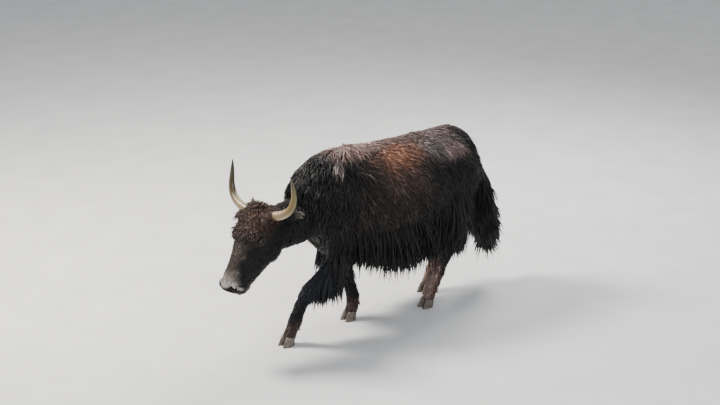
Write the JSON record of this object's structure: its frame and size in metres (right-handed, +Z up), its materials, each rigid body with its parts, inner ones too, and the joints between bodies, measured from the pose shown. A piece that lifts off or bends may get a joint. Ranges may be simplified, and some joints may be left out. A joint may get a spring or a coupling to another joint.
{
  "type": "yak",
  "caption": "Still, life-size model of a long-haired yak walking with its head low, with upcurved horns, a shaggy skirt and a bushy tail.",
  "frame": {"origin": "on the floor, below the middle of the length and width of the animal", "axes": "+X from tail to head, +Y to the animal's left, +Z up; the floor is at Z 0"},
  "size_m": [2.2781, 0.6238, 1.2366],
  "materials": {
    "coat_black": "long, slightly glossy black hair; fabric stands in for hair",
    "coat_brown": "short dark brown hair with curly locks on the forehead; fabric stands in for hair",
    "horn": "smooth keratin; matte plastic stands in for horn",
    "hoof": "worn keratin; matte plastic stands in for hoof",
    "eye": "wet, dark brown eye"
  },
  "bodies": {
    "root": {"eye_left": "eye", "horn_left": "horn", "ear_left": "coat_black", "eye_right": "eye", "horn_right": "horn", "ear_right": "coat_black", "head": "coat_brown", "torso": "coat_black", "neck": "coat_black", "foreleg_left_toe_left": "hoof", "foreleg_left_toe_right": "hoof", "foreleg_left_shank": "coat_black", "foreleg_left_upper": "coat_black", "foreleg_right_toe_left": "hoof", "foreleg_right_toe_right": "hoof", "foreleg_right_shank": "coat_black", "foreleg_right_upper": "coat_black", "hindleg_left_toe_left": "hoof", "hindleg_left_toe_right": "hoof", "hindleg_left_shank": "coat_black", "hindleg_left_upper": "coat_black", "hindleg_right_toe_left": "hoof", "hindleg_right_toe_right": "hoof", "hindleg_right_shank": "coat_black", "hindleg_right_upper": "coat_black", "tail": "coat_black"}
  },
  "joints": []
}
